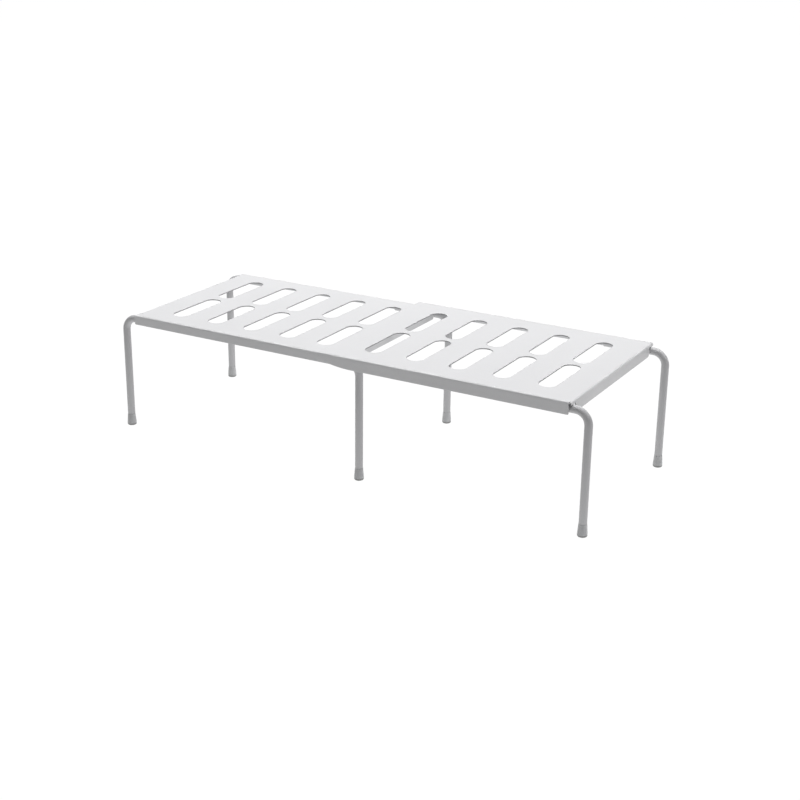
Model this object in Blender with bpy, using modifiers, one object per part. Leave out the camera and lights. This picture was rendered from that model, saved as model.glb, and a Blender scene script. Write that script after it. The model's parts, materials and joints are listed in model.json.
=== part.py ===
"""Expandable shelf riser: two slotted sheet-steel decks on bent tube legs with plastic foot caps.

The outer deck slides over the inner one along X. The frame is Z up, with the origin on the
floor under the middle of the riser as it stands pulled out.
"""

import math

import bmesh
import bpy
from mathutils import Matrix, Vector

# Overall layout, in metres.
HEIGHT = 0.145
LEFT_LEG_X = -0.2985
MIDDLE_LEG_X = 0.026
RIGHT_LEG_X = 0.2985
LEG_REACH = 0.01775
OUTER_DECK_LEFT = -0.0205
OUTER_HALF_WIDTH = 0.114
INNER_HALF_WIDTH = 0.109
SLIDE_GAP = 0.001

# Sheet metal.
SHEET = 0.0012
BEND_RADIUS = 0.002
BEND_SEGMENTS = 3
OUTER_FLANGE = 0.0137
INNER_FLANGE = 0.011
NOTCH_WIDTH = 0.012
NOTCH_OVER_TUBE = 0.0004
FREE_CORNER_SWEEP = (0.044, 0.0115)
SIDE_CORNER_SWEEP = (0.0012, 0.0012)
TAB_CORNER_SWEEP = (0.003, 0.003)
TRIM_SEGMENTS = 8

# Slots, in two rows on each deck, set out from the deck's right end.
SLOT_WIDTH = 0.0202
SLOT_LENGTH = 0.0794
SLOTS_PER_ROW = 5
SLOT_ROW_GAP = 0.0096
SLOT_END_MARGIN = 0.0435
OUTER_SLOT_PITCH = 0.0524
INNER_SLOT_PITCH = 0.0505
SLOT_SEGMENTS = 20

# Leg tubes.
TUBE_RADIUS = 0.0044
TUBE_WALL = 0.0008
TUBE_SIDES_RESOLUTION = 4
LEG_BEND_RADIUS = 0.015
LEG_BEND_SEGMENTS = 7
LEG_RUN_INSIDE_DECK = 0.056
LEG_RUN_Z = 0.1367
FIT_GAP = 0.0003
TUBE_SIDE_GAP = 0.0003

# Foot caps.
CAP_HEIGHT = 0.014
CAP_FLOOR = 0.0022
CAP_BORE_GAP = 0.00015
CAP_LIP_RADIUS = 0.0049
CAP_BODY_RADIUS = 0.0054
CAP_BODY_Z = 0.0042
CAP_EDGE_RADIUS = 0.0015
CAP_LIP_ROUND = 0.0002
CAP_STEPS = 20

# Weld beads, in the corner between a tube and the side flange beside it.
BEAD_RADIUS = 0.0009
BEAD_LENGTH = 0.036
BEAD_SETBACK = 0.012
BEAD_SIDES = 10
BEAD_RINGS = 7

# How far cutters stand out of what they cut.
CUT_MARGIN = 0.004
MERGE_DISTANCE = 0.00001

INNER_TOP = HEIGHT - SHEET - SLIDE_GAP
INNER_DECK_LEFT = LEFT_LEG_X + LEG_REACH
INNER_DECK_RIGHT = MIDDLE_LEG_X - LEG_REACH
OUTER_DECK_RIGHT = RIGHT_LEG_X - LEG_REACH
TUBE_INSET = SHEET + TUBE_SIDE_GAP + TUBE_RADIUS

PAINT_WHITE = (0.83, 0.84, 0.85, 1.0)
CAP_WHITE = (0.70, 0.71, 0.72, 1.0)


def clear_scene():
    """Remove every object, so that the model starts from an empty scene."""
    for scene_object in list(bpy.data.objects):
        bpy.data.objects.remove(scene_object, do_unlink=True)


def new_collection(name):
    """Return a new collection linked to the scene."""
    collection = bpy.data.collections.new(name)
    bpy.context.scene.collection.children.link(collection)
    return collection


def new_material(name, colour, roughness, metallic):
    """Return a Principled material with the given colour, roughness and metallic value."""
    material = bpy.data.materials.new(name)
    material.use_nodes = True
    shader = material.node_tree.nodes["Principled BSDF"]
    shader.inputs["Base Color"].default_value = colour
    shader.inputs["Roughness"].default_value = roughness
    shader.inputs["Metallic"].default_value = metallic
    return material


def mesh_object(name, bm, collection):
    """Turn a bmesh into an object of the given name, and free the bmesh."""
    mesh = bpy.data.meshes.new(name)
    bm.to_mesh(mesh)
    bm.free()
    new_object = bpy.data.objects.new(name, mesh)
    collection.objects.link(new_object)
    return new_object


def add_box(bm, low, high):
    """Add a box between two opposite corners, and return its vertices."""
    size = Vector(high) - Vector(low)
    middle = (Vector(high) + Vector(low)) / 2
    matrix = Matrix.Translation(middle) @ Matrix.Diagonal((*size, 1.0))
    return bmesh.ops.create_cube(bm, size=1.0, matrix=matrix)["verts"]


def arc_points(centre, radius, start, end, steps):
    """Return points of an arc in a plane, from a start to an end angle in degrees."""
    points = []
    for step in range(steps + 1):
        angle = math.radians(start + (end - start) * step / steps)
        points.append((centre[0] + radius * math.cos(angle), centre[1] + radius * math.sin(angle)))
    return points


def bent_tray(name, left, right, half_width, top, flange, open_left, collection):
    """Make the folded sheet of a deck: a plate with flanges turned down, open underneath."""
    bm = bmesh.new()
    add_box(bm, (left, -half_width, top - flange), (right, half_width, top))
    open_faces = [face for face in bm.faces if face.normal.z < -0.5]
    if open_left:
        open_faces += [face for face in bm.faces if face.normal.x < -0.5]
    bmesh.ops.delete(bm, geom=open_faces, context="FACES_ONLY")
    loose_edges = [edge for edge in bm.edges if not edge.link_faces]
    bmesh.ops.delete(bm, geom=loose_edges, context="EDGES")
    fold_edges = []
    for edge in bm.edges:
        at_top = all(vertex.co.z > top - MERGE_DISTANCE for vertex in edge.verts)
        if at_top and len(edge.link_faces) == 2:
            fold_edges.append(edge)
    bmesh.ops.bevel(bm, geom=fold_edges, offset=BEND_RADIUS, segments=BEND_SEGMENTS,
                    profile=0.5, affect="EDGES", clamp_overlap=True)
    tray = mesh_object(name, bm, collection)
    sheet = tray.modifiers.new("sheet", "SOLIDIFY")
    sheet.thickness = SHEET
    sheet.offset = -1.0
    sheet.use_even_offset = True
    return tray


def add_slot(bm, centre_x, centre_y, low, high):
    """Add an obround prism: a round prism whose two halves are pulled apart along Y."""
    half_step = math.pi / SLOT_SEGMENTS
    radius = SLOT_WIDTH / 2 / math.cos(half_step)
    matrix = Matrix.Translation((0, 0, (low + high) / 2)) @ Matrix.Rotation(half_step, 4, "Z")
    verts = bmesh.ops.create_cone(bm, cap_ends=True, segments=SLOT_SEGMENTS, radius1=radius,
                                  radius2=radius, depth=high - low, matrix=matrix)["verts"]
    straight = (SLOT_LENGTH - SLOT_WIDTH) / 2
    for vertex in verts:
        vertex.co.y += math.copysign(straight, vertex.co.y)
        vertex.co += Vector((centre_x, centre_y, 0))


def slot_cutter(name, right, pitch, top, collection):
    """Make the cutter for both rows of slots of one deck, which ends at right."""
    bm = bmesh.new()
    row_y = (SLOT_ROW_GAP + SLOT_LENGTH) / 2
    for side in (-1, 1):
        for index in range(SLOTS_PER_ROW):
            add_slot(bm, right - SLOT_END_MARGIN - pitch * index, side * row_y,
                     top - SHEET - CUT_MARGIN, top + CUT_MARGIN)
    return mesh_object(name, bm, collection)


def notch_cutter(name, ends, half_width, bottom, collection):
    """Make the cutter for the corner notches that the leg tubes come out of."""
    bm = bmesh.new()
    low_z = bottom - CUT_MARGIN
    high_z = LEG_RUN_Z + TUBE_RADIUS + NOTCH_OVER_TUBE
    for end_x, outward in ends:
        near_x = end_x - outward * BEND_RADIUS
        far_x = end_x + outward * CUT_MARGIN
        for side in (-1, 1):
            inner_y = side * (half_width - NOTCH_WIDTH)
            outer_y = side * (half_width + CUT_MARGIN)
            low = (min(near_x, far_x), min(inner_y, outer_y), low_z)
            high = (max(near_x, far_x), max(inner_y, outer_y), high_z)
            add_box(bm, low, high)
    return mesh_object(name, bm, collection)


def add_corner_trim(bm, edge, outward, bottom, sweep, span, across_y):
    """Add a prism that leaves a rounded lower corner on a flange.

    The corner is a quarter of an ellipse, with a sweep of so much along the flange and so much
    up it. The flange runs along X and the prism across Y, or the other way round.
    """
    along, up = sweep
    quarter = arc_points((0.0, 0.0), 1.0, -90, 0, TRIM_SEGMENTS)
    arc = [(edge + outward * along * (x - 1), bottom + up * (z + 1)) for x, z in quarter]
    beyond = edge + outward * CUT_MARGIN
    below = bottom - CUT_MARGIN
    outline = arc + [(beyond, arc[-1][1]), (beyond, below), (arc[0][0], below)]
    start, end = span
    depth = Vector((0, end - start, 0)) if across_y else Vector((end - start, 0, 0))
    first = [(place, start, z) if across_y else (start, place, z) for place, z in outline]
    face = bm.faces.new([bm.verts.new(point) for point in first])
    extruded = bmesh.ops.extrude_face_region(bm, geom=[face])["geom"]
    moved = [item for item in extruded if isinstance(item, bmesh.types.BMVert)]
    bmesh.ops.translate(bm, vec=depth, verts=moved)


def corner_cutter(name, side_ends, flange_ends, half_width, bottom, collection):
    """Make the cutter that rounds the lower corners of the flanges.

    Side ends are (x, outward, sweep) of the side flanges; flange ends are (x, outward) of the
    end flanges.
    """
    bm = bmesh.new()
    for side in (-1, 1):
        near = side * (half_width - SHEET - CUT_MARGIN)
        far = side * (half_width + CUT_MARGIN)
        for edge_x, outward, sweep in side_ends:
            add_corner_trim(bm, edge_x, outward, bottom, sweep, sorted((near, far)), True)
        for end_x, outward in flange_ends:
            inner_x = end_x - outward * (SHEET + CUT_MARGIN)
            outer_x = end_x + outward * CUT_MARGIN
            add_corner_trim(bm, side * (half_width - NOTCH_WIDTH), side, bottom,
                            TAB_CORNER_SWEEP, sorted((inner_x, outer_x)), False)
    bmesh.ops.recalc_face_normals(bm, faces=bm.faces)
    return mesh_object(name, bm, collection)


def cut(target, cutter):
    """Cut one object with another, which is kept as a hidden cutter."""
    cutter.hide_render = True
    cutter.display_type = "WIRE"
    boolean = target.modifiers.new(cutter.name, "BOOLEAN")
    boolean.operation = "DIFFERENCE"
    boolean.solver = "EXACT"
    boolean.object = cutter


def make_inner_deck(parts, cutters):
    """Make the lower deck, with a flange on all four sides and a notch at each corner."""
    deck = bent_tray("inner_deck", INNER_DECK_LEFT, INNER_DECK_RIGHT, INNER_HALF_WIDTH,
                     INNER_TOP, INNER_FLANGE, False, parts)
    bottom = INNER_TOP - INNER_FLANGE
    ends = ((INNER_DECK_LEFT, -1), (INNER_DECK_RIGHT, 1))
    side_ends = [(x - outward * BEND_RADIUS, outward, SIDE_CORNER_SWEEP) for x, outward in ends]
    cut(deck, slot_cutter("inner_slots", INNER_DECK_RIGHT, INNER_SLOT_PITCH, INNER_TOP, cutters))
    cut(deck, notch_cutter("inner_notches", ends, INNER_HALF_WIDTH, bottom, cutters))
    cut(deck, corner_cutter("inner_corners", side_ends, ends, INNER_HALF_WIDTH, bottom, cutters))
    return deck


def make_outer_deck(parts, cutters):
    """Make the upper deck, which is open at its left end, where it slides over the inner one."""
    deck = bent_tray("outer_deck", OUTER_DECK_LEFT, OUTER_DECK_RIGHT, OUTER_HALF_WIDTH,
                     HEIGHT, OUTER_FLANGE, True, parts)
    bottom = HEIGHT - OUTER_FLANGE
    ends = ((OUTER_DECK_RIGHT, 1),)
    side_ends = ((OUTER_DECK_LEFT, -1, FREE_CORNER_SWEEP),
                 (OUTER_DECK_RIGHT - BEND_RADIUS, 1, SIDE_CORNER_SWEEP))
    cut(deck, slot_cutter("outer_slots", OUTER_DECK_RIGHT, OUTER_SLOT_PITCH, HEIGHT, cutters))
    cut(deck, notch_cutter("outer_notches", ends, OUTER_HALF_WIDTH, bottom, cutters))
    cut(deck, corner_cutter("outer_corners", side_ends, ends, OUTER_HALF_WIDTH, bottom, cutters))
    return deck


def leg_route(outward):
    """Return the points of a leg's centre line, with the leg standing at x = 0."""
    bend_start = -LEG_BEND_RADIUS
    run_start = -LEG_REACH - LEG_RUN_INSIDE_DECK
    bend = arc_points((bend_start, LEG_RUN_Z - LEG_BEND_RADIUS), LEG_BEND_RADIUS, 90, 0,
                      LEG_BEND_SEGMENTS)
    route = [(run_start, LEG_RUN_Z)] + bend + [(0.0, CAP_FLOOR + FIT_GAP)]
    return [(outward * x, 0.0, z) for x, z in route]


def make_leg(name, x, y, outward, parts):
    """Make one bent, hollow leg tube, open at both ends."""
    curve = bpy.data.curves.new(name, "CURVE")
    curve.dimensions = "3D"
    curve.bevel_depth = TUBE_RADIUS
    curve.bevel_resolution = TUBE_SIDES_RESOLUTION
    route = leg_route(outward)
    spline = curve.splines.new("POLY")
    spline.points.add(len(route) - 1)
    for point, place in zip(spline.points, route):
        point.co = (*place, 1.0)
    guide = bpy.data.objects.new(name + "_line", curve)
    parts.objects.link(guide)
    guide.location = (x, y, 0.0)
    bpy.context.view_layer.update()
    evaluated = guide.evaluated_get(bpy.context.evaluated_depsgraph_get())
    mesh = bpy.data.meshes.new_from_object(evaluated)
    leg = bpy.data.objects.new(name, mesh)
    parts.objects.link(leg)
    leg.matrix_world = guide.matrix_world
    bpy.data.objects.remove(guide, do_unlink=True)
    mesh.shade_smooth()
    wall = leg.modifiers.new("wall", "SOLIDIFY")
    wall.thickness = TUBE_WALL
    wall.offset = -1.0
    return leg


def cap_profile():
    """Return the profile of a foot cap, from its blind bore, over the lip and down outside."""
    bore = TUBE_RADIUS + CAP_BORE_GAP
    edge_centre = (CAP_BODY_RADIUS - CAP_EDGE_RADIUS, CAP_EDGE_RADIUS)
    edge = arc_points(edge_centre, CAP_EDGE_RADIUS, 0, -90, 4)
    lip = [(bore, CAP_HEIGHT), (CAP_LIP_RADIUS - CAP_LIP_ROUND, CAP_HEIGHT),
           (CAP_LIP_RADIUS, CAP_HEIGHT - CAP_LIP_ROUND)]
    inside = [(0.0, CAP_FLOOR), (bore, CAP_FLOOR)]
    return inside + lip + [(CAP_BODY_RADIUS, CAP_BODY_Z)] + edge + [(0.0, 0.0)]


def make_foot_cap(name, x, y, parts):
    """Make one foot cap, a turned cup that the end of a leg stands in."""
    bm = bmesh.new()
    verts = [bm.verts.new((radius, 0.0, z)) for radius, z in cap_profile()]
    for upper, lower in zip(verts, verts[1:]):
        bm.edges.new((upper, lower))
    cap = mesh_object(name, bm, parts)
    cap.location = (x, y, 0.0)
    turn = cap.modifiers.new("turn", "SCREW")
    turn.axis = "Z"
    turn.steps = CAP_STEPS
    turn.render_steps = CAP_STEPS
    turn.use_merge_vertices = True
    turn.merge_threshold = MERGE_DISTANCE
    turn.use_smooth_shade = True
    return cap


def make_weld_bead(name, x, y, outward, parts):
    """Make the bead that joins a leg's run to the side flange, low down between the two."""
    outboard = TUBE_RADIUS + TUBE_SIDE_GAP - FIT_GAP / 2 - BEAD_RADIUS
    apart = TUBE_RADIUS + FIT_GAP + BEAD_RADIUS
    drop = math.sqrt(apart ** 2 - outboard ** 2)
    bead_x = x - outward * (LEG_REACH + BEAD_SETBACK + BEAD_LENGTH / 2)
    bead_y = y + math.copysign(outboard, y)
    bm = bmesh.new()
    along_x = Matrix.Rotation(math.pi / 2, 4, "Y")
    verts = bmesh.ops.create_uvsphere(bm, u_segments=BEAD_SIDES, v_segments=BEAD_RINGS,
                                      radius=BEAD_RADIUS, matrix=along_x)["verts"]
    for vertex in verts:
        vertex.co.x += math.copysign(BEAD_LENGTH / 2 - BEAD_RADIUS, vertex.co.x)
    bead = mesh_object(name, bm, parts)
    bead.location = (bead_x, bead_y, LEG_RUN_Z - drop)
    bead.data.shade_smooth()
    return bead


def add_leg_set(place, x, half_width, outward, materials, parts):
    """Add the front and rear legs of one place, with their caps and weld beads; return them all."""
    pieces = []
    for side_name, side in (("front", -1), ("rear", 1)):
        y = side * (half_width - TUBE_INSET)
        tail = f"{place}_{side_name}"
        leg = make_leg("leg_" + tail, x, y, outward, parts)
        leg.data.materials.append(materials["tube"])
        cap = make_foot_cap("foot_cap_" + tail, x, y, parts)
        cap.data.materials.append(materials["cap"])
        bead = make_weld_bead("weld_bead_" + tail, x, y, outward, parts)
        bead.data.materials.append(materials["bead"])
        pieces += [leg, cap, bead]
    return pieces


def parent_to_slide(pieces, parts):
    """Parent the sliding pieces to an empty on the line of their travel."""
    slide = bpy.data.objects.new("outer_shelf_slide", None)
    slide.location = (OUTER_DECK_LEFT, 0.0, HEIGHT)
    parts.objects.link(slide)
    bpy.context.view_layer.update()
    for piece in pieces:
        piece.parent = slide
        piece.matrix_parent_inverse = slide.matrix_world.inverted()


def build():
    """Build the whole riser."""
    clear_scene()
    parts = new_collection("shelf_riser")
    cutters = new_collection("shelf_riser_cutters")
    materials = {
        "deck": new_material("deck_powder_coat", PAINT_WHITE, 0.42, 0.0),
        "tube": new_material("tube_powder_coat", PAINT_WHITE, 0.38, 0.0),
        "cap": new_material("cap_plastic", CAP_WHITE, 0.55, 0.0),
        "bead": new_material("bead_powder_coat", PAINT_WHITE, 0.45, 0.0),
    }
    inner_deck = make_inner_deck(parts, cutters)
    inner_deck.data.materials.append(materials["deck"])
    outer_deck = make_outer_deck(parts, cutters)
    outer_deck.data.materials.append(materials["deck"])
    add_leg_set("left", LEFT_LEG_X, INNER_HALF_WIDTH, -1, materials, parts)
    add_leg_set("middle", MIDDLE_LEG_X, INNER_HALF_WIDTH, 1, materials, parts)
    right_set = add_leg_set("right", RIGHT_LEG_X, OUTER_HALF_WIDTH, 1, materials, parts)
    parent_to_slide([outer_deck] + right_set, parts)


build()
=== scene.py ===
"""Visual scene of the expandable shelf riser: folded sheet decks, bent tubes, foot caps, welds.

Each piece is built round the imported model's boxes, rides on its body and replaces its CAD node.
All lengths are in metres, in the frame of the CAD model, and angles are in degrees.
"""

import json
import math

import bmesh
import bpy
from mathutils import Matrix, Vector
from mathutils.geometry import delaunay_2d_cdt


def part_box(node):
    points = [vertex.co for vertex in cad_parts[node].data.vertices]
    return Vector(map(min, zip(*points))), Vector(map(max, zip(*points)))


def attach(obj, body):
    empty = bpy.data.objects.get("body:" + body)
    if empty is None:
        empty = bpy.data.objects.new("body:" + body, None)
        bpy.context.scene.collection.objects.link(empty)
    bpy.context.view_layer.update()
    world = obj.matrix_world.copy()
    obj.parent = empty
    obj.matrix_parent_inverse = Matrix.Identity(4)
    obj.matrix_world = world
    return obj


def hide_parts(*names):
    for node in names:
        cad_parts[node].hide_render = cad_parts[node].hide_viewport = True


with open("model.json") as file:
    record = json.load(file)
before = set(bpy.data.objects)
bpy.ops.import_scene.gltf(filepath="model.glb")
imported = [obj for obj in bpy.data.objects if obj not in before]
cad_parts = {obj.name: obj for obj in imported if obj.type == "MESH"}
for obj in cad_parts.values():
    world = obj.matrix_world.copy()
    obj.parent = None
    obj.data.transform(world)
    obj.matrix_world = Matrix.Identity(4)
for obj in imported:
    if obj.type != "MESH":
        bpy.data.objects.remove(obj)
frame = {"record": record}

# Sheet metal.
SHEET = 0.0012
BEND_RADIUS = 0.002
BEND_STEPS = 8
EDGE_RADIUS = 0.0002
EDGE_STEPS = 3
EDGE_ANGLE = 40.0

# Rows of points that keep the rolled edges even: how far they lie from a bend or slot, and from
# the rim, and the range of turns that counts as an arc of the rim.
HOLD = 0.0004
RIM_HOLD = 0.00045
ARC_TURNS = (0.2, 45.0)

# Corners of the folded sheet, with the notches, slits and ears of its end flanges.
NOTCH_WIDTH = 0.012
SLIT_WIDTH = 0.0006
SLIT_DEPTH = 0.001
EAR_TRIM = 0.0003
EAR_DEPTH = 0.0035
SIDE_CORNER_RADIUS = 0.0012
TAB_CORNER_RADIUS = 0.003
FREE_CORNER_SWEEP = (0.044, 0.0107)
SMALL_CORNER_RADIUS = 0.0008
CORNER_STEP = 0.0004
CORNER_FEWEST_STEPS = 3
FREE_CORNER_STEPS = 40

# Slots, in two rows on each deck, set out from the deck's right end.
SLOT_WIDTH = 0.0202
SLOT_LENGTH = 0.0794
SLOTS_PER_ROW = 5
SLOT_ROW_GAP = 0.0096
SLOT_END_MARGIN = 0.0435
OUTER_SLOT_PITCH = 0.0524
INNER_SLOT_PITCH = 0.0505
SLOT_ARC_STEPS = 28

# Leg tubes.
TUBE_RADIUS = 0.0044
TUBE_WALL = 0.0008
TUBE_SIDES = 40
TUBE_BEND_RADIUS = 0.015
TUBE_BEND_STEPS = 22
TUBE_BEND_LEAD = 0.001
TUBE_BEND_FLATTENING = 0.035
TUBE_END_CHAMFER = 0.00015

# Foot caps.
CAP_SIDES = 48
CAP_FLOOR = 0.0022
CAP_BORE_GAP = 0.00002
CAP_LIP_RADIUS = 0.0046
CAP_LIP_ROUND = 0.00012
CAP_LIP_STEPS = 4
CAP_BODY_RADIUS = 0.0054
CAP_BODY_Z = 0.0042
CAP_BODY_STEPS = 6
CAP_EDGE_RADIUS = 0.0015
CAP_EDGE_STEPS = 8
CAP_RING_DROP = 0.0017
CAP_RING_DEPTH = 0.00006
CAP_RING_WIDTH = 0.0005
CAP_RING_STEPS = 6
CAP_RECESS_RADIUS = 0.0032
CAP_RECESS_DEPTH = 0.0005
CAP_RECESS_SLOPE = 0.0002
CAP_SEAM = 0.00005
CAP_SEAM_LEAST_RADIUS = 0.0047
CAP_BEVEL = 0.00008
CAP_BEVEL_STEPS = 2
CAP_BEVEL_ANGLE = 50.0

# Weld beads.
WELD_SIDES = 14
WELD_RINGS = 90
WELD_RIPPLES = 22
WELD_RIPPLE_DEPTH = 0.12
WELD_SWELLS = ((0.06, 17.0, 0.0), (0.04, 41.0, 1.0))
WELD_FULLEST = 1.1
WELD_END_SQUARENESS = 8
WELD_OVERLAP = 0.0003

# Millimetres in a metre, and the limits for telling points apart.
MILLIMETRES = 1000
FLAT_TOLERANCE_MM = 1e-4
MERGE_DISTANCE = 2e-6
RIM_MARGIN = 1e-5

# Camera, floor and lights.
CAMERA_PLACE = (0.8185, -1.3976, 0.6596)
CAMERA_YAW = 29.784
CAMERA_PITCH = 20.403
CAMERA_ROLL = 0.684
CAMERA_LENS = 66.45
CAMERA_SENSOR = 36.0
FLOOR_HALF_SIZE = 14.0
FLOOR_DROP = 0.0004
FLOOR_GLOW = 1.0
FLOOR_ALBEDO = 0.02
COVE_RADIUS = 13.0
COVE_SIDES = 96
COVE_RINGS = 24
OVERHEAD_POWER = 138.0
OVERHEAD_SIZE = (3.4, 2.3)
OVERHEAD_PLACE = (-0.45, 0.9, 2.6)
SIDE_POWER = 11.5
SIDE_SIZE = (1.0, 1.0)
SIDE_PLACE = (2.2, 0.9, 1.3)
SIDE_TARGET = (0.1, 0.0, 0.12)
WORLD_STRENGTH = 0.0

# Colours, and the levels at which they change.
SPECULAR_LEVEL = 0.38
PAINT_WHITE = (0.645, 0.645, 0.655)
PAINT_THINNING = 0.87
# Painted shade: the tubes and welds wear the decks' white paint, darkened to stand in for the shade
# on them.
TUBE_SHADED_WHITE = (0.51, 0.51, 0.52)
# Painted shade: the dark grey of the sheets' cut rims stands in for the shade on the slot walls;
# below the deck plates it gives way to white.
PAINTED_SHADE_EDGE_GREY = (0.30, 0.30, 0.31)
CAP_WHITE = (0.59, 0.595, 0.605)
CAP_SCUFF = (0.44, 0.437, 0.43)
# Painted shade: the grey that darkens a cap's bottom rim, where it meets the floor.
CAP_CONTACT_SHADE_GREY = (0.22, 0.22, 0.215)
CAP_SCUFF_Z = (0.0042, 0.0002)
CAP_CONTACT_SHADE_Z = (0.003, 0.0016)
# Painted shade: below this level the cut rims' grey gives way to white.
PAINTED_SHADE_LOWEST_Z = 0.141

# Powder-coat finishes: roughness, and the depth of the orange peel.
DECK_FINISH = {"roughness": 0.42, "peel": 0.00013}
EDGE_FINISH = {"roughness": 0.50, "peel": 0.00005}
TUBE_FINISH = {"roughness": 0.46, "peel": 0.00009}
WELD_FINISH = {"roughness": 0.50, "peel": 0.00008}

# Surface patterns. Waves are counted along a metre.
CLOUD_WAVES = 14.0
PEEL_WAVES = 230.0
FINE_PEEL_WAVES = 1900.0
FINE_PEEL_SHARE = 0.14
GLOSS_WAVES = 420.0
SPECK_WAVES = 1500.0
WEAR_WAVES = 90.0
WEAR_REACH = 0.0007
RUB_STRETCH = (6.0, 1400.0, 40.0)
RUB_PATCH_WAVES = 11.0
PLASTIC_FLOW_WAVES = 60.0
PLASTIC_GLOSS_WAVES = 300.0
PLASTIC_SCUFF_WAVES = 700.0
PLASTIC_GRAIN_WAVES = 1100.0
PLASTIC_GRAIN_DEPTH = 0.00003


def mesh_piece(name, vertices, faces):
    """Make a smooth-shaded mesh object from lists of vertices and faces."""
    mesh = bpy.data.meshes.new(name)
    mesh.from_pydata(vertices, [], faces)
    bm = bmesh.new()
    bm.from_mesh(mesh)
    bmesh.ops.recalc_face_normals(bm, faces=bm.faces)
    bm.to_mesh(mesh)
    bm.free()
    mesh.shade_smooth()
    piece = bpy.data.objects.new(name, mesh)
    bpy.context.scene.collection.objects.link(piece)
    return piece


def arc_points(centre, radius, start, end, steps):
    """Return points of an arc in a plane, from a start to an end angle in degrees."""
    points = []
    for step in range(steps + 1):
        angle = math.radians(start + (end - start) * step / steps)
        points.append((centre[0] + radius * math.cos(angle), centre[1] + radius * math.sin(angle)))
    return points


def corner_points(inward, across, radius):
    """Return the arc that rounds a corner of the flat outline, whose tip is at the given point."""
    steps = max(CORNER_FEWEST_STEPS, round(radius * math.pi / 2 / CORNER_STEP))
    return arc_points((inward + radius, across - radius), radius, 90, 180, steps)


def fold_rows():
    """Return the distances past the start of a bend at which the sheet has a row of points."""
    arc = BEND_RADIUS * math.pi / 2
    rows = [arc * step / BEND_STEPS for step in range(BEND_STEPS + 1)]
    return [-HOLD] + rows + [arc + HOLD]


class Deck:
    """Sizes of one folded deck, read from its CAD node's box."""

    def __init__(self, node, pitch, open_left, ears):
        low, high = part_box(node)
        self.left = low.x
        self.right = high.x
        self.half_width = high.y
        self.top = high.z
        self.flange = high.z - low.z
        self.pitch = pitch
        self.open_left = open_left
        self.ears = ears
        self.bend_line = self.half_width - BEND_RADIUS
        self.unfolded = BEND_RADIUS * math.pi / 2 + self.flange - BEND_RADIUS

    def slot_centres(self):
        """Return the (x, y) centres of the deck's slots."""
        row_y = (SLOT_ROW_GAP + SLOT_LENGTH) / 2
        first = self.right - SLOT_END_MARGIN
        return [(first - self.pitch * index, side * row_y)
                for side in (-1, 1) for index in range(SLOTS_PER_ROW)]

    def side_flange_ends(self):
        """Return the x of the left and right end of the side flanges."""
        left_setback = 0.0 if self.open_left else self.setback()
        return self.left + left_setback, self.right - self.setback()

    def setback(self):
        """Return how far a side flange stops short of an end, to clear that end's ears."""
        return BEND_RADIUS + SLIT_WIDTH if self.ears else 0.0


def flanged_end(deck):
    """Return the flat outline of one end and corner, as (inward, across) points.

    It runs from the side flange's lower corner, round the corner, to the end flange's free edge.
    With ears, the end flange goes on over the tube. Without, the plate stays flat over it.
    """
    lowest = deck.bend_line + deck.unfolded
    side_end = deck.setback()
    notch_side = deck.half_width - NOTCH_WIDTH
    tab_tip = BEND_RADIUS - deck.unfolded
    points = corner_points(side_end, lowest, SIDE_CORNER_RADIUS)
    if deck.ears:
        slit_root = deck.bend_line - SLIT_DEPTH
        notch_root = BEND_RADIUS - (BEND_RADIUS * math.pi / 2 + EAR_DEPTH - BEND_RADIUS)
        edge = deck.half_width - EAR_TRIM
        points += [(side_end, slit_root), (BEND_RADIUS, slit_root), (BEND_RADIUS, edge)]
        points += corner_points(notch_root, edge, SMALL_CORNER_RADIUS)
    else:
        notch_root = BEND_RADIUS + SLIT_DEPTH
        points += [(side_end, notch_side + SLIT_WIDTH), (notch_root, notch_side + SLIT_WIDTH)]
    points += [(notch_root, notch_side)]
    return points + corner_points(tab_tip, notch_side, TAB_CORNER_RADIUS)


def open_end(deck):
    """Return the flat outline of one corner of the open end, as (inward, across) points."""
    lowest = deck.bend_line + deck.unfolded
    along, up = FREE_CORNER_SWEEP
    quarter = arc_points((1.0, -1.0), 1.0, 90, 180, FREE_CORNER_STEPS)
    return [(along * inward, lowest + up * across) for inward, across in quarter]


def flat_outline(deck):
    """Return the closed outline of the deck's flat blank, anticlockwise from the front left."""
    left_end = open_end(deck) if deck.open_left else flanged_end(deck)
    right_end = flanged_end(deck)
    outline = [(deck.left + inward, -across) for inward, across in reversed(left_end)]
    outline += [(deck.right - inward, -across) for inward, across in right_end]
    outline += [(deck.right - inward, across) for inward, across in reversed(right_end)]
    outline += [(deck.left + inward, across) for inward, across in left_end]
    return outline


def slot_outline(centre, radius):
    """Return the closed outline of a slot, whose ends have the given radius."""
    straight = (SLOT_LENGTH - SLOT_WIDTH) / 2
    x, y = centre
    upper = arc_points((x, y + straight), radius, 0, 180, SLOT_ARC_STEPS)
    lower = arc_points((x, y - straight), radius, 180, 360, SLOT_ARC_STEPS)
    return upper + lower


def inside_outline(point, outline):
    """Say whether a point is inside a closed outline."""
    x, y = point
    inside = False
    for (ax, ay), (bx, by) in zip(outline, outline[1:] + outline[:1]):
        if (ay > y) != (by > y) and x < ax + (bx - ax) * (y - ay) / (by - ay):
            inside = not inside
    return inside


def in_slot(point, centres, radius):
    """Say whether a point is inside any slot, whose ends have the given radius."""
    straight = (SLOT_LENGTH - SLOT_WIDTH) / 2
    for x, y in centres:
        beyond = max(abs(point[1] - y) - straight, 0.0)
        if math.hypot(point[0] - x, beyond) < radius:
            return True
    return False


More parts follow.
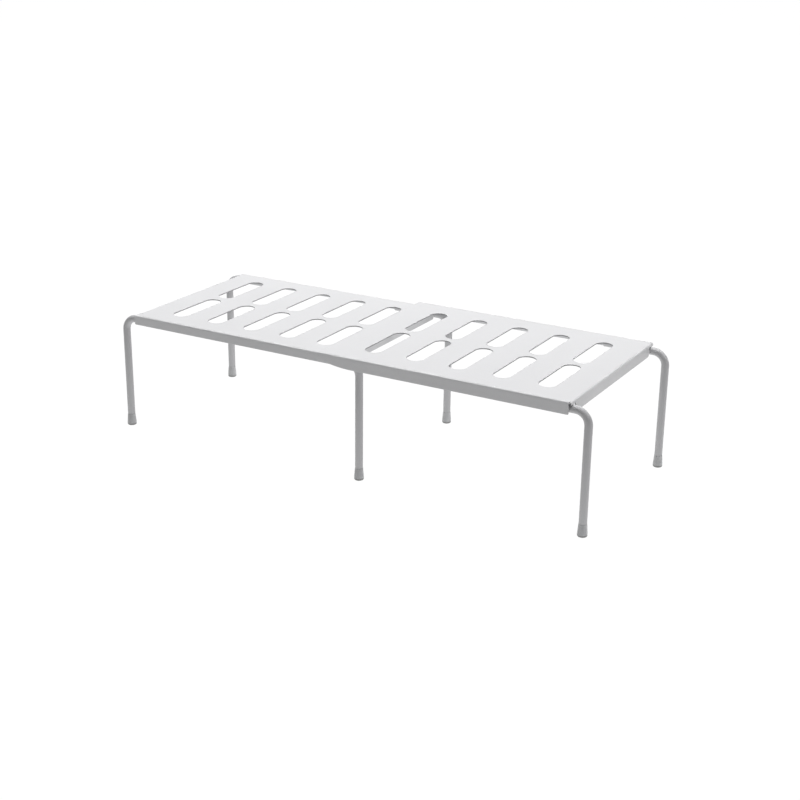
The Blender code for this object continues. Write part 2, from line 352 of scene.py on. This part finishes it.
def fold_lines(deck):
    """Return the lines of the flat blank along which the sheet curves, as pairs of points."""
    lines = []
    flange_left, flange_right = deck.side_flange_ends()
    past_end = SLIT_WIDTH / 2
    for row in fold_rows():
        for side in (-1, 1):
            across = side * (deck.bend_line + row)
            lines.append(((flange_left - past_end, across), (flange_right + past_end, across)))
        reach = deck.half_width if deck.ears else deck.half_width - NOTCH_WIDTH
        if row < 0 and deck.ears:
            reach = deck.bend_line - SLIT_DEPTH - HOLD
        ends = [deck.right - BEND_RADIUS + row]
        if not deck.open_left:
            ends.append(deck.left + BEND_RADIUS - row)
        for x in ends:
            lines.append(((x, -reach), (x, reach)))
    return lines


def folded(point, deck):
    """Return the place in space of a point of the deck's flat blank."""
    x, y = point
    z = deck.top
    flange_left, flange_right = deck.side_flange_ends()
    tolerance = SLIT_WIDTH / 4
    past_side = abs(y) - deck.bend_line
    on_side = past_side > 0 and flange_left - tolerance <= x <= flange_right + tolerance
    past_right = x - (deck.right - BEND_RADIUS)
    past_left = (deck.left + BEND_RADIUS) - x
    reach = deck.half_width if deck.ears else deck.half_width - NOTCH_WIDTH + tolerance
    if on_side:
        out, down = bend(past_side)
        y = math.copysign(deck.bend_line + out, y)
        z -= down
    elif past_right > 0 and abs(y) <= reach:
        out, down = bend(past_right)
        x = deck.right - BEND_RADIUS + out
        z -= down
    elif past_left > 0 and abs(y) <= reach and not deck.open_left:
        out, down = bend(past_left)
        x = deck.left + BEND_RADIUS - out
        z -= down
    return (x, y, z)


def bend(distance):
    """Return how far out and down a point lies, a distance past the start of a bend."""
    arc = BEND_RADIUS * math.pi / 2
    if distance < arc:
        angle = distance / BEND_RADIUS
        return BEND_RADIUS * math.sin(angle), BEND_RADIUS * (1 - math.cos(angle))
    return BEND_RADIUS, BEND_RADIUS + distance - arc


def rim_points(outline):
    """Return points just inside the arcs of an anticlockwise outline, to keep its rim even."""
    points = []
    for k, (x, y) in enumerate(outline):
        here = Vector((x, y))
        before = here - Vector(outline[k - 1])
        after = Vector(outline[(k + 1) % len(outline)]) - here
        turning = math.degrees(before.angle(after))
        along = (before.normalized() + after.normalized()).normalized()
        if ARC_TURNS[0] < turning < ARC_TURNS[1]:
            points.append((x - along.y * RIM_HOLD, y + along.x * RIM_HOLD))
    return points


def blank_drawing(deck, outline, hold_outlines):
    """Return the points and edges of the flat blank: outlines, fold lines and rim points."""
    points = []
    edges = []
    for loop in [outline] + hold_outlines:
        first = len(points)
        points += loop
        edges += [(first + i, first + (i + 1) % len(loop)) for i in range(len(loop))]
    for start, end in fold_lines(deck):
        edges.append((len(points), len(points) + 1))
        points += [start, end]
    return points + rim_points(outline), edges


def filled_blank(deck):
    """Return the points and triangles of the flat blank, left open a little wide of each slot."""
    outline = flat_outline(deck)
    centres = deck.slot_centres()
    radius = hold_radius()
    hold_outlines = [slot_outline(centre, radius) for centre in centres]
    points, edges = blank_drawing(deck, outline, hold_outlines)
    scaled = [Vector((x * MILLIMETRES, y * MILLIMETRES)) for x, y in points]
    flat, _, triangles = delaunay_2d_cdt(scaled, edges, [], 0, FLAT_TOLERANCE_MM, False)[:3]
    flat = [(point.x / MILLIMETRES, point.y / MILLIMETRES) for point in flat]
    faces = []
    for triangle in triangles:
        middle = (sum(flat[i][0] for i in triangle) / 3, sum(flat[i][1] for i in triangle) / 3)
        if inside_outline(middle, outline) and not in_slot(middle, centres, radius - RIM_MARGIN):
            faces.append(tuple(triangle))
    return flat, faces


def hold_radius():
    """Return the radius at which the blank meets the flat ring of sheet round a slot."""
    return SLOT_WIDTH / 2 + HOLD * 2


def join_sheet(piece):
    """Join doubled points, drop loose ones and face the sheet upward."""
    bm = bmesh.new()
    bm.from_mesh(piece.data)
    bmesh.ops.remove_doubles(bm, verts=bm.verts, dist=MERGE_DISTANCE)
    loose = [vertex for vertex in bm.verts if not vertex.link_faces]
    bmesh.ops.delete(bm, geom=loose, context="VERTS")
    bmesh.ops.recalc_face_normals(bm, faces=bm.faces)
    if max(bm.faces, key=lambda face: face.calc_area()).normal.z < 0:
        bmesh.ops.reverse_faces(bm, faces=bm.faces)
    bm.to_mesh(piece.data)
    bm.free()


def thicken_sheet(piece):
    """Give the sheet its thickness and rolled edges, and put the second material, a painted-shade
    grey, on its rim and rolled edges.
    """
    sheet = piece.modifiers.new("sheet", "SOLIDIFY")
    sheet.thickness = SHEET
    sheet.offset = -1.0
    sheet.use_even_offset = True
    sheet.material_offset_rim = 1
    edge = piece.modifiers.new("edge", "BEVEL")
    edge.width = EDGE_RADIUS
    edge.segments = EDGE_STEPS
    edge.limit_method = "ANGLE"
    edge.angle_limit = math.radians(EDGE_ANGLE)
    edge.use_clamp_overlap = False
    edge.material = 1
    shading = piece.modifiers.new("shading", "WEIGHTED_NORMAL")
    shading.mode = "FACE_AREA"
    shading.weight = 100


def deck_piece(name, deck):
    """Make a folded, slotted deck with softly rounded edges."""
    flat, faces = filled_blank(deck)
    vertices = [folded(point, deck) for point in flat]
    for centre in deck.slot_centres():
        add_slot_rim(vertices, faces, centre, deck.top)
    piece = mesh_piece(name, vertices, faces)
    join_sheet(piece)
    thicken_sheet(piece)
    return piece


def add_slot_rim(vertices, faces, centre, top):
    """Add the flat ring of sheet right round a slot."""
    inner = slot_outline(centre, SLOT_WIDTH / 2)
    outer = slot_outline(centre, hold_radius())
    first = len(vertices)
    vertices += [(x, y, top) for x, y in inner + outer]
    count = len(inner)
    for i in range(count):
        j = (i + 1) % count
        faces.append((first + i, first + j, first + count + j, first + count + i))


def ring_surface(name, rings, closed):
    """Make a mesh from rings of points, joined in order, and capped unless closed on itself."""
    sides = len(rings[0])
    vertices = [point for ring in rings for point in ring]
    faces = []
    pairs = len(rings) if closed else len(rings) - 1
    for k in range(pairs):
        near = k * sides
        far = (k + 1) % len(rings) * sides
        for i in range(sides):
            j = (i + 1) % sides
            faces.append((near + i, near + j, far + j, far + i))
    if not closed:
        faces.append(tuple(range(sides)))
        faces.append(tuple(range(len(vertices) - sides, len(vertices))))
    return mesh_piece(name, vertices, faces)


def leg_stations(run_length, height):
    """Return (x, z, lean, flattening) along a leg's centre line, from its run to past its bend.

    The upright stands at x = 0. Lean is 0 where the tube lies level and 90 where it is upright.
    """
    radius = TUBE_BEND_RADIUS
    chamfer = TUBE_END_CHAMFER
    run_starts = [-run_length, -run_length + chamfer, -radius - TUBE_BEND_LEAD]
    stations = [(x, height, 0.0, 0.0) for x in run_starts]
    for step in range(TUBE_BEND_STEPS + 1):
        lean = 90 * step / TUBE_BEND_STEPS
        angle = math.radians(90 - lean)
        stations.append((-radius + radius * math.cos(angle),
                         height - radius + radius * math.sin(angle), lean,
                         TUBE_BEND_FLATTENING * math.sin(math.radians(2 * lean)) ** 2))
    stations.append((0.0, height - radius - TUBE_BEND_LEAD, 90.0, 0.0))
    return stations


def leg_ring(station, radius, x, y, outward):
    """Return one ring of points round a leg's centre line."""
    along, z, lean, flattening = station
    upward = Vector((outward * math.sin(math.radians(lean)), 0.0, math.cos(math.radians(lean))))
    centre = Vector((x + outward * along, y, z))
    ring = []
    for i in range(TUBE_SIDES):
        angle = 2 * math.pi * i / TUBE_SIDES
        high = math.sin(angle) * (1 - flattening)
        ring.append(centre + radius * (math.cos(angle) * Vector((0, 1, 0)) + high * upward))
    return ring


def leg_piece(name, node):
    """Make one bent, hollow leg tube where its CAD node stands."""
    low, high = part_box(node)
    outward = leg_direction(node)
    y = (low.y + high.y) / 2
    x = (high.x if outward > 0 else low.x) - outward * TUBE_RADIUS
    run_length = high.x - low.x - TUBE_RADIUS
    stations = leg_stations(run_length, high.z - TUBE_RADIUS)
    stations += [(0.0, low.z + TUBE_END_CHAMFER, 90.0, 0.0), (0.0, low.z, 90.0, 0.0)]
    bore = TUBE_RADIUS - TUBE_WALL
    last = len(stations) - 1
    rings = []
    for k, station in enumerate(stations):
        radius = TUBE_RADIUS - (TUBE_END_CHAMFER if k in (0, last) else 0.0)
        rings.append(leg_ring(station, radius, x, y, outward))
    for k, station in reversed(list(enumerate(stations))):
        radius = bore + (TUBE_END_CHAMFER if k in (0, last) else 0.0)
        rings.append(leg_ring(station, radius, x, y, outward))
    return ring_surface(name, rings, True)


def leg_direction(node):
    """Return 1 for a leg that stands at its deck's right end, -1 at its left end."""
    return -1 if "_left_" in node else 1


def flared_radius(z, height):
    """Return the radius of a cap's side at a level, from its lip down to its full body."""
    share = (height - z) / (height - CAP_BODY_Z)
    return CAP_LIP_RADIUS + (CAP_BODY_RADIUS - CAP_LIP_RADIUS) * min(share, 1.0)


def cap_groove(height):
    """Return the (radius, z) profile of the shallow ring round a cap, below its lip."""
    profile = []
    for step in range(CAP_RING_STEPS + 1):
        offset = CAP_RING_WIDTH * (step / CAP_RING_STEPS - 0.5)
        z = height - CAP_RING_DROP - offset
        dip = CAP_RING_DEPTH * math.cos(math.pi * offset / CAP_RING_WIDTH) ** 2
        profile.append((flared_radius(z, height) - dip, z))
    return profile


def cap_profile(height):
    """Return the (radius, z) profile of a foot cap, from its bore's floor to its underside."""
    bore = TUBE_RADIUS + CAP_BORE_GAP
    lip = CAP_LIP_ROUND
    profile = [(bore, CAP_FLOOR), (bore, height - lip / 2), (bore + lip / 4, height)]
    profile += arc_points((CAP_LIP_RADIUS - lip, height - lip), lip, 90, 0, CAP_LIP_STEPS)
    profile += cap_groove(height)
    body_top = height - CAP_RING_DROP - CAP_RING_WIDTH
    for step in range(1, CAP_BODY_STEPS + 1):
        z = body_top - (body_top - CAP_BODY_Z) * step / CAP_BODY_STEPS
        profile.append((flared_radius(z, height), z))
    edge_centre = (CAP_BODY_RADIUS - CAP_EDGE_RADIUS, CAP_EDGE_RADIUS)
    profile += arc_points(edge_centre, CAP_EDGE_RADIUS, 0, -90, CAP_EDGE_STEPS)
    recess = CAP_RECESS_RADIUS
    slope = CAP_RECESS_SLOPE
    return profile + [(recess + slope, 0.0), (recess, slope / 2), (recess - slope, CAP_RECESS_DEPTH)]


def cap_piece(name, node):
    """Make one moulded foot cap where its CAD node stands."""
    low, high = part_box(node)
    x = (low.x + high.x) / 2
    y = (low.y + high.y) / 2
    rings = []
    for radius, z in cap_profile(high.z - low.z):
        ring = []
        for i in range(CAP_SIDES):
            angle = 2 * math.pi * i / CAP_SIDES
            on_seam = i in (0, CAP_SIDES // 2) and radius > CAP_SEAM_LEAST_RADIUS
            reach = radius + (CAP_SEAM if on_seam else 0.0)
            ring.append((x + reach * math.cos(angle), y + reach * math.sin(angle), low.z + z))
        rings.append(ring)
    piece = ring_surface(name, rings, False)
    edge = piece.modifiers.new("edge", "BEVEL")
    edge.width = CAP_BEVEL
    edge.segments = CAP_BEVEL_STEPS
    edge.limit_method = "ANGLE"
    edge.angle_limit = math.radians(CAP_BEVEL_ANGLE)
    edge.harden_normals = True
    return piece


def weld_piece(name, node):
    """Make one rippled weld bead where its CAD node lies."""
    low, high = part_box(node)
    centre = (low + high) / 2
    half_length = (high.x - low.x) / 2
    radius = (high.z - low.z) / 2 + WELD_OVERLAP
    rings = []
    for k in range(1, WELD_RINGS):
        share = k / WELD_RINGS
        x = centre.x - half_length + 2 * half_length * share
        ends = math.sqrt(1 - abs(2 * share - 1) ** WELD_END_SQUARENESS)
        ripple = abs(math.sin(math.pi * WELD_RIPPLES * share))
        swell = 1 + sum(depth * math.sin(waves * share + shift)
                        for depth, waves, shift in WELD_SWELLS)
        reach = radius * ends * (1 - WELD_RIPPLE_DEPTH * (1 - ripple)) * swell / WELD_FULLEST
        ring = []
        for i in range(WELD_SIDES):
            angle = 2 * math.pi * i / WELD_SIDES
            ring.append((x, centre.y + reach * math.cos(angle), centre.z + reach * math.sin(angle)))
        rings.append(ring)
    return ring_surface(name, rings, False)


# Materials.

class Nodes:
    """A short way to add and join the nodes of one material."""

    def __init__(self, name):
        self.material = bpy.data.materials.new(name)
        self.material.use_nodes = True
        self.tree = self.material.node_tree
        self.shader = self.tree.nodes["Principled BSDF"]
        self.shader.inputs["Specular IOR Level"].default_value = SPECULAR_LEVEL
        self.place = self.add("ShaderNodeTexCoord").outputs["Object"]

    def add(self, kind, **settings):
        """Add a node, set its properties, and return it."""
        node = self.tree.nodes.new(kind)
        for key, value in settings.items():
            setattr(node, key, value)
        return node

    def join(self, output, target):
        """Join an output to an input."""
        self.tree.links.new(output, target)

    def height(self):
        """Return the height above the floor."""
        node = self.add("ShaderNodeSeparateXYZ")
        self.join(self.place, node.inputs[0])
        return node.outputs["Z"]

    def stretched(self, scale):
        """Return the place, stretched by a factor along each axis."""
        node = self.add("ShaderNodeVectorMath", operation="MULTIPLY")
        self.join(self.place, node.inputs[0])
        node.inputs[1].default_value = scale
        return node.outputs[0]

    def noise(self, scale, detail, place=None):
        """Return a noise value from 0 to 1, with the given number of waves a metre."""
        node = self.add("ShaderNodeTexNoise")
        node.inputs["Scale"].default_value = scale
        node.inputs["Detail"].default_value = detail
        self.join(place or self.place, node.inputs["Vector"])
        return node.outputs["Fac"]

    def ranged(self, value, low, high, to_low=0.0, to_high=1.0):
        """Return a value moved from one range to another, and kept inside it."""
        node = self.add("ShaderNodeMapRange", clamp=True)
        self.join(value, node.inputs["Value"])
        for key, number in (("From Min", low), ("From Max", high),
                            ("To Min", to_low), ("To Max", to_high)):
            node.inputs[key].default_value = number
        return node.outputs["Result"]

    def math(self, operation, first, second):
        """Return the result of a sum on two values, each an output or a number."""
        node = self.add("ShaderNodeMath", operation=operation)
        for value, target in ((first, node.inputs[0]), (second, node.inputs[1])):
            if isinstance(value, (int, float)):
                target.default_value = value
            else:
                self.join(value, target)
        return node.outputs[0]

    def mixed(self, factor, first, second):
        """Return a mix of two colours."""
        node = self.add("ShaderNodeMix", data_type="RGBA")
        self.join(factor, node.inputs["Factor"])
        for value, target in ((first, node.inputs[6]), (second, node.inputs[7])):
            if isinstance(value, tuple):
                target.default_value = (*value, 1.0)
            else:
                self.join(value, target)
        return node.outputs[2]

    def bumped(self, height, distance, before=None):
        """Return a normal raised by a height value, on top of an earlier normal."""
        node = self.add("ShaderNodeBump")
        node.inputs["Strength"].default_value = 1.0
        node.inputs["Distance"].default_value = distance
        self.join(height, node.inputs["Height"])
        if before is not None:
            self.join(before, node.inputs["Normal"])
        return node.outputs["Normal"]

    def edge_mask(self, radius):
        """Return 1 near sharp edges and 0 on flats."""
        rounded = self.add("ShaderNodeBevel", samples=6)
        rounded.inputs["Radius"].default_value = radius
        true_normal = self.add("ShaderNodeNewGeometry").outputs["Normal"]
        node = self.add("ShaderNodeVectorMath", operation="DOT_PRODUCT")
        self.join(rounded.outputs[0], node.inputs[0])
        self.join(true_normal, node.inputs[1])
        return self.ranged(node.outputs["Value"], 0.995, 0.80)


def rub_marks(nodes):
    """Return a mask of the fine marks that sliding leaves along a deck's length."""
    streaks = nodes.noise(1.0, 4.0, nodes.stretched(RUB_STRETCH))
    lines = nodes.ranged(streaks, 0.60, 0.72)
    patches = nodes.ranged(nodes.noise(RUB_PATCH_WAVES, 2.0), 0.42, 0.62)
    return nodes.math("MULTIPLY", lines, patches)


def powder_coat(name, white, roughness, peel, rubbed=False, low_white=None):
    """Make white powder coat: orange peel, uneven gloss, thinner paint along the edges.

    A low white is the colour below the level of the deck plates, where a painted-shade grey on the
    cut rims gives way to white.
    """
    nodes = Nodes(name)
    thin = tuple(channel * PAINT_THINNING for channel in white)
    patches = nodes.noise(CLOUD_WAVES, 3.0)
    edges = nodes.edge_mask(WEAR_REACH)
    wear = nodes.ranged(nodes.noise(WEAR_WAVES, 4.0), 0.35, 0.65, 0.35, 1.0)
    worn = nodes.math("MULTIPLY", edges, wear)
    clouded = nodes.mixed(nodes.ranged(patches, 0.3, 0.7, 0.0, 0.22), white, thin)
    specks = nodes.ranged(nodes.noise(SPECK_WAVES, 2.0), 0.68, 0.78, 0.0, 0.5)
    speckled = nodes.mixed(specks, clouded, thin)
    colour = nodes.mixed(nodes.math("MULTIPLY", worn, 0.7), speckled, thin)
    gloss = nodes.ranged(patches, 0.3, 0.7, roughness - 0.05, roughness + 0.06)
    fine_gloss = nodes.ranged(nodes.noise(GLOSS_WAVES, 3.0), 0.3, 0.7, -0.03, 0.04)
    total = nodes.math("ADD", gloss, fine_gloss)
    if rubbed:
        rub = rub_marks(nodes)
        total = nodes.math("SUBTRACT", total, nodes.math("MULTIPLY", rub, 0.12))
        colour = nodes.mixed(nodes.math("MULTIPLY", rub, 0.25), colour, thin)
    # Painted shade: the grey stays on the plates' slot walls, and the lower rims turn white.
    if low_white:
        level = nodes.ranged(nodes.height(), PAINTED_SHADE_LOWEST_Z - HOLD, PAINTED_SHADE_LOWEST_Z)
        colour = nodes.mixed(level, low_white, colour)
    nodes.join(nodes.math("SUBTRACT", total, nodes.math("MULTIPLY", worn, 0.08)),
               nodes.shader.inputs["Roughness"])
    nodes.join(colour, nodes.shader.inputs["Base Color"])
    wide = nodes.bumped(nodes.noise(PEEL_WAVES, 2.0), peel)
    fine = nodes.bumped(nodes.noise(FINE_PEEL_WAVES, 2.0), peel * FINE_PEEL_SHARE, wide)
    nodes.join(fine, nodes.shader.inputs["Normal"])
    return nodes.material


def cap_plastic(name):
    """Make moulded white plastic, scuffed towards the floor, with painted shade darkening its bottom
    rim.
    """
    nodes = Nodes(name)
    low_down = nodes.ranged(nodes.height(), *CAP_SCUFF_Z)
    scuffs = nodes.ranged(nodes.noise(PLASTIC_SCUFF_WAVES, 5.0), 0.42, 0.64)
    dirt = nodes.math("MULTIPLY", low_down, scuffs)
    flow = nodes.ranged(nodes.noise(PLASTIC_FLOW_WAVES, 3.0), 0.3, 0.7, 0.0, 0.25)
    shaded = nodes.mixed(flow, CAP_WHITE, CAP_SCUFF)
    scuffed = nodes.mixed(nodes.math("MULTIPLY", dirt, 0.6), shaded, CAP_SCUFF)
    # Painted shade: the cap darkens towards its bottom rim.
    rim = nodes.ranged(nodes.height(), *CAP_CONTACT_SHADE_Z, 0.0, 0.8)
    nodes.join(nodes.mixed(rim, scuffed, CAP_CONTACT_SHADE_GREY), nodes.shader.inputs["Base Color"])
    rough = nodes.ranged(nodes.noise(PLASTIC_GLOSS_WAVES, 4.0), 0.3, 0.7, 0.46, 0.6)
    nodes.join(nodes.math("ADD", rough, nodes.math("MULTIPLY", dirt, 0.15)),
               nodes.shader.inputs["Roughness"])
    grain = nodes.bumped(nodes.noise(PLASTIC_GRAIN_WAVES, 3.0), PLASTIC_GRAIN_DEPTH)
    nodes.join(grain, nodes.shader.inputs["Normal"])
    return nodes.material


def glowing_white(name):
    """Make an evenly glowing white, for the lit table top and the cove behind it."""
    nodes = Nodes(name)
    shader = nodes.shader
    shader.inputs["Base Color"].default_value = (FLOOR_ALBEDO,) * 3 + (1.0,)
    shader.inputs["Roughness"].default_value = 1.0
    shader.inputs["Specular IOR Level"].default_value = 0.0
    shader.inputs["Emission Color"].default_value = (1.0, 1.0, 1.0, 1.0)
    shader.inputs["Emission Strength"].default_value = FLOOR_GLOW
    return nodes.material


# Camera, floor and lights.

def make_camera():
    """Make the camera, at the viewing angle of the reference picture."""
    data = bpy.data.cameras.new("camera")
    data.lens = CAMERA_LENS
    data.sensor_width = CAMERA_SENSOR
    data.clip_start = 0.01
    data.clip_end = 100.0
    camera = bpy.data.objects.new("camera", data)
    bpy.context.scene.collection.objects.link(camera)
    turn = (Matrix.Rotation(math.radians(CAMERA_YAW), 4, "Z")
            @ Matrix.Rotation(math.radians(90 - CAMERA_PITCH), 4, "X")
            @ Matrix.Rotation(math.radians(CAMERA_ROLL), 4, "Z"))
    camera.matrix_world = Matrix.Translation(CAMERA_PLACE) @ turn
    bpy.context.scene.camera = camera


def make_area_light(name, place, size, power, target):
    """Make a soft rectangular light that faces a target point."""
    data = bpy.data.lights.new(name, "AREA")
    data.shape = "RECTANGLE"
    data.size, data.size_y = size
    data.energy = power
    light = bpy.data.objects.new(name, data)
    light.location = place
    light.rotation_euler = (Vector(target) - Vector(place)).to_track_quat("-Z", "Y").to_euler()
    bpy.context.scene.collection.objects.link(light)


def cove_ring(height_angle):
    """Return one level ring of points of the cove, at an angle above its foot in radians."""
    radius = COVE_RADIUS * math.cos(height_angle)
    z = COVE_RADIUS * math.sin(height_angle) - 2 * FLOOR_DROP
    turns = [2 * math.pi * i / COVE_SIDES for i in range(COVE_SIDES)]
    return [(radius * math.cos(turn), radius * math.sin(turn), z) for turn in turns]


def make_cove():
    """Make the far white cove, which the camera sees behind the floor but which lights nothing."""
    rings = [cove_ring(math.radians(90 * k / COVE_RINGS)) for k in range(COVE_RINGS)]
    vertices = [point for ring in rings for point in ring]
    faces = []
    for k in range(COVE_RINGS - 1):
        for i in range(COVE_SIDES):
            j = (i + 1) % COVE_SIDES
            near = k * COVE_SIDES
            far = near + COVE_SIDES
            faces.append((near + i, near + j, far + j, far + i))
    faces.append(tuple(range(len(vertices) - COVE_SIDES, len(vertices))))
    cove = mesh_piece("cove", vertices, faces)
    cove.data.materials.append(glowing_white("cove_white"))
    cove.visible_diffuse = False
    cove.visible_glossy = False
    cove.visible_transmission = False
    cove.visible_shadow = False


def make_studio():
    """Make the floor, the cove, the lights and the dark surroundings."""
    half = FLOOR_HALF_SIZE
    corners = [(-half, -half), (half, -half), (half, half), (-half, half)]
    floor = mesh_piece("floor", [(x, y, -FLOOR_DROP) for x, y in corners], [(0, 1, 2, 3)])
    floor.data.materials.append(glowing_white("lit_table_top"))
    make_cove()
    x, y, z = OVERHEAD_PLACE
    make_area_light("overhead", OVERHEAD_PLACE, OVERHEAD_SIZE, OVERHEAD_POWER, (x, y, z - 1))
    make_area_light("side", SIDE_PLACE, SIDE_SIZE, SIDE_POWER, SIDE_TARGET)
    world = bpy.data.worlds.new("surroundings")
    world.use_nodes = True
    world.node_tree.nodes["Background"].inputs["Strength"].default_value = WORLD_STRENGTH
    scene = bpy.context.scene
    scene.world = world
    scene.view_settings.view_transform = "Standard"


def settle(piece, materials, node, body):
    """Give a finished piece its materials and body, and hide its CAD node."""
    for material in materials:
        piece.data.materials.append(material)
    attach(piece, body)
    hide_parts(node)


def build():
    """Build the camera, the studio and every piece of the riser."""
    make_camera()
    make_studio()
    body_of = {node: body for body, nodes in frame["record"]["behaviour"]["bodies"].items()
               for node in nodes}
    inner_paint = powder_coat("inner_deck_powder_coat", PAINT_WHITE, **DECK_FINISH, rubbed=True)
    outer_paint = powder_coat("outer_deck_powder_coat", PAINT_WHITE, **DECK_FINISH)
    # Painted shade: the cut rims take a dark grey that stands in for their shade.
    painted_shade_edge_paint = powder_coat("cut_edge_painted_shade", PAINTED_SHADE_EDGE_GREY, **EDGE_FINISH,
                             low_white=PAINT_WHITE)
    # Painted shade: tubes and welds get a darker copy of the deck white.
    tube_paint = powder_coat("tube_powder_coat", TUBE_SHADED_WHITE, **TUBE_FINISH)
    weld_paint = powder_coat("weld_shaded_powder_coat", TUBE_SHADED_WHITE, **WELD_FINISH)
    plastic = cap_plastic("cap_plastic")
    inner = Deck("inner_deck", INNER_SLOT_PITCH, open_left=False, ears=False)
    outer = Deck("outer_deck", OUTER_SLOT_PITCH, open_left=True, ears=True)
    settle(deck_piece("inner_deck_sheet", inner), (inner_paint, painted_shade_edge_paint), "inner_deck",
           body_of["inner_deck"])
    settle(deck_piece("outer_deck_sheet", outer), (outer_paint, painted_shade_edge_paint), "outer_deck",
           body_of["outer_deck"])
    kinds = (("leg_", "tube_", leg_piece, tube_paint, "tube_paint"),
             ("foot_cap_", "cap_shell_", cap_piece, plastic, "cap_plastic"),
             ("weld_bead_", "weld_ripple_", weld_piece, weld_paint, "bead_paint"))
    for place in ("left", "middle", "right"):
        for side in ("front", "rear"):
            for prefix, new_prefix, make, material, slot in kinds:
                node = f"{prefix}{place}_{side}"
                piece = make(f"{new_prefix}{place}_{side}", node)
                settle(piece, (material,), node, body_of[node])


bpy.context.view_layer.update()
build()
